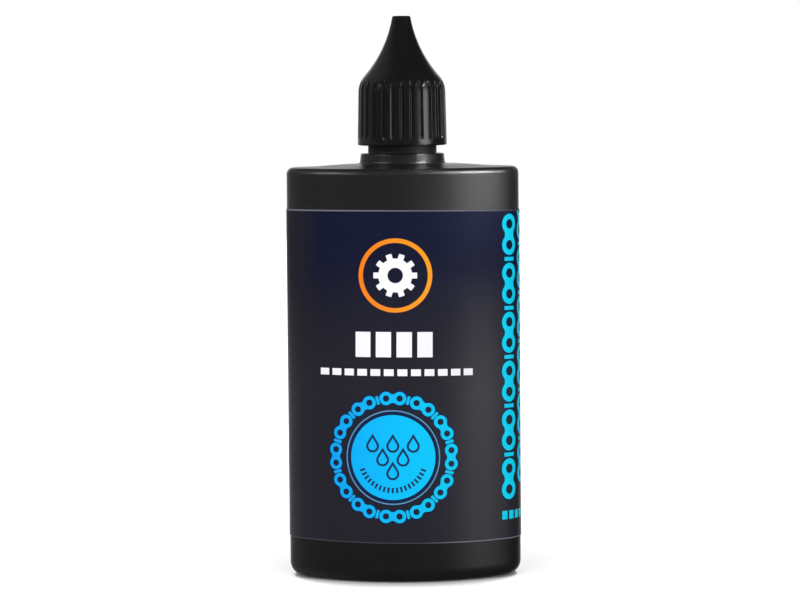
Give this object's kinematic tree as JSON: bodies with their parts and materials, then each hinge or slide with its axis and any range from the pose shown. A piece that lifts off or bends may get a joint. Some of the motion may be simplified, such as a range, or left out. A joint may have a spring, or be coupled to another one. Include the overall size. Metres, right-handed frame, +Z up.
{
  "type": "chain lube bottle",
  "caption": "Oval squeeze bottle with a narrow threaded neck, a pressed-in dropper nozzle, a pointed screw cap with grip grooves and a wrap-round film label.",
  "frame": {"origin": "middle of the base, on the plane that the standing ring rests on", "axes": "+Z up along the neck and cap, +Y towards the back of the label along the thin side of the oval, +X to the right along its wide side"},
  "size_m": [0.0522, 0.0322, 0.1261],
  "materials": {
    "bottle_plastic": "satin black blow-moulded polyethylene",
    "dropper_plastic": "natural, slightly milky soft polyethylene",
    "cap_plastic": "satin black injection-moulded plastic",
    "label_film": "satin printed film, navy and charcoal with pale, cyan and orange fields"
  },
  "bodies": {
    "bottle": {"bottle": "bottle_plastic", "dropper_insert": "dropper_plastic", "label": "label_film"},
    "cap": {"cap": "cap_plastic"}
  },
  "joints": [
    {"name": "cap_lift", "type": "slide", "parent": "bottle", "child": "cap", "axis": [0, 0, 1], "range_m": [0, 0.034]}
  ]
}
